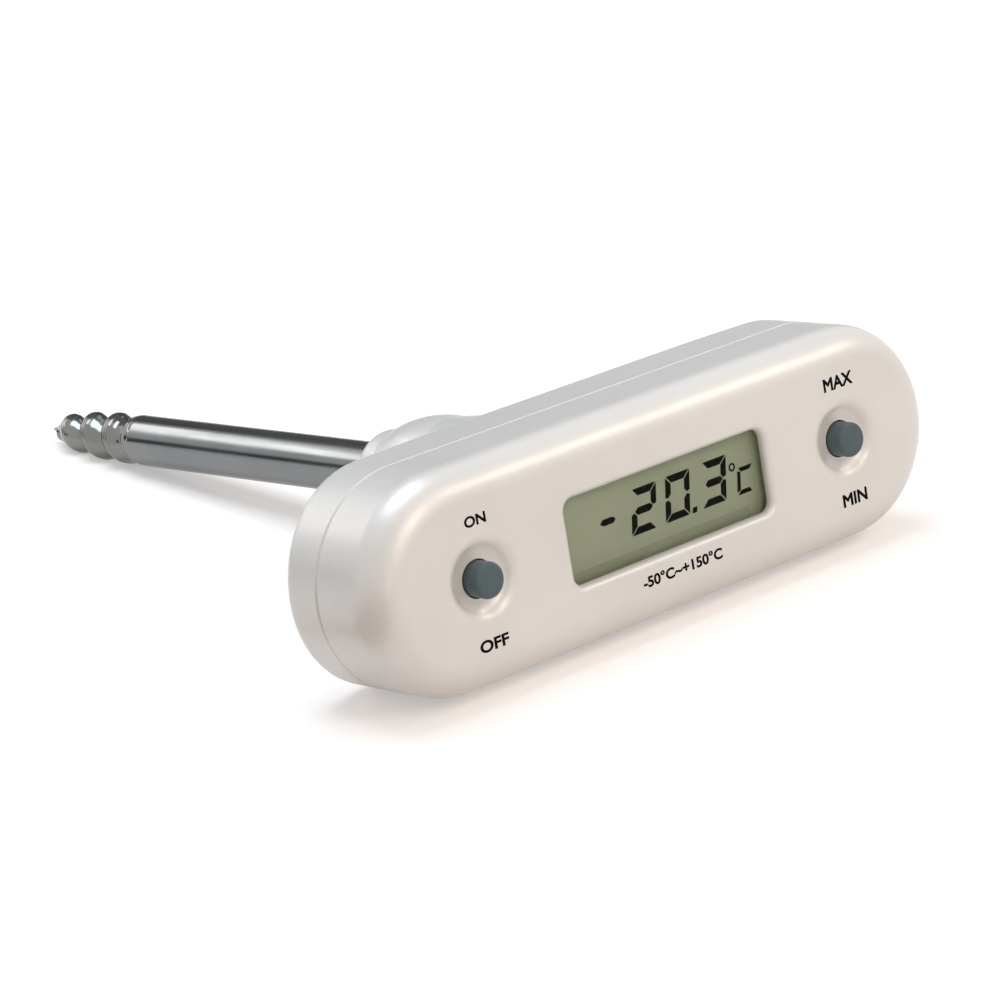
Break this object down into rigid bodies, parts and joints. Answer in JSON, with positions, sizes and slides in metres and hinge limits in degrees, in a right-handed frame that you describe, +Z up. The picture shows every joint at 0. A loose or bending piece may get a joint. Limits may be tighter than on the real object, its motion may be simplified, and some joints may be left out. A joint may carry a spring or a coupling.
{
  "type": "probe thermometer",
  "caption": "T-handle digital maximum and minimum thermometer with a round steel probe that ends in a corkscrew tip, two push buttons and a small window display.",
  "frame": {"origin": "on the probe's axis, where the tube's full radius begins, 0.2 mm outside the neck's collar", "axes": "+Y along the probe towards its tip, +X along the handle, +Z up when the handle lies on its flat lower side"},
  "size_m": [0.102, 0.1498, 0.03],
  "materials": {
    "shell_plastic": "satin off-white moulding",
    "probe_steel": "polished stainless",
    "tip_steel": "machined stainless",
    "flange_steel": "plain stainless",
    "potting_resin": "cast resin",
    "seal_rubber": "black rubber",
    "sensor_glass": "glass-coated bead",
    "wire_insulation": "insulated wire",
    "clear_lens": "clear moulded lens",
    "display_glass": "grey-green reflective display",
    "frame_plastic": "moulded frame",
    "strip_rubber": "striped contact rubber",
    "board_laminate": "green laminate",
    "screw_steel": "plated steel",
    "chip_resin": "black resin drop",
    "component_ceramic": "small components",
    "switch_plastic": "black moulding",
    "button_rubber": "grey silicone rubber",
    "cell_steel": "nickel-plated steel",
    "contact_metal": "nickel-plated spring strip"
  },
  "bodies": {
    "housing": {"front_shell": "shell_plastic", "rear_shell": "shell_plastic", "neck_collar": "shell_plastic", "probe_tube": "probe_steel", "drill_tip": "tip_steel", "tube_flange": "flange_steel", "neck_potting": "potting_resin", "neck_seal": "seal_rubber", "sensor_bead": "sensor_glass", "sensor_wires": "wire_insulation", "sensor_filling": "potting_resin", "shell_gasket": "seal_rubber", "window_lens": "clear_lens", "lcd_panel": "display_glass", "display_frame": "frame_plastic", "upper_contact_strip": "strip_rubber", "lower_contact_strip": "strip_rubber", "circuit_board": "board_laminate", "board_screws": "screw_steel", "chip_cover": "chip_resin", "board_components": "component_ceramic", "power_switch": "switch_plastic", "memory_switch": "switch_plastic", "button_cell": "cell_steel", "inner_cell_contact": "contact_metal", "side_cell_contact": "contact_metal", "case_screws": "screw_steel"},
    "power_key": {"power_button": "button_rubber", "power_plunger": "switch_plastic"},
    "memory_key": {"memory_button": "button_rubber", "memory_plunger": "switch_plastic"},
    "cap": {"battery_cap": "shell_plastic", "cap_seal": "seal_rubber"}
  },
  "joints": [
    {"name": "power_button_press", "type": "slide", "parent": "housing", "child": "power_key", "axis": [0, 1, 0], "range_m": [0, 0.0005], "stiffness_N_per_m": 2500},
    {"name": "memory_button_press", "type": "slide", "parent": "housing", "child": "memory_key", "axis": [0, 1, 0], "range_m": [0, 0.0005], "stiffness_N_per_m": 2500},
    {"name": "battery_cap_turn", "type": "hinge", "parent": "housing", "child": "cap", "pos_m": [0.031, -0.0424, 0], "axis": [0, 1, 0], "range_deg": [0, 90]}
  ]
}
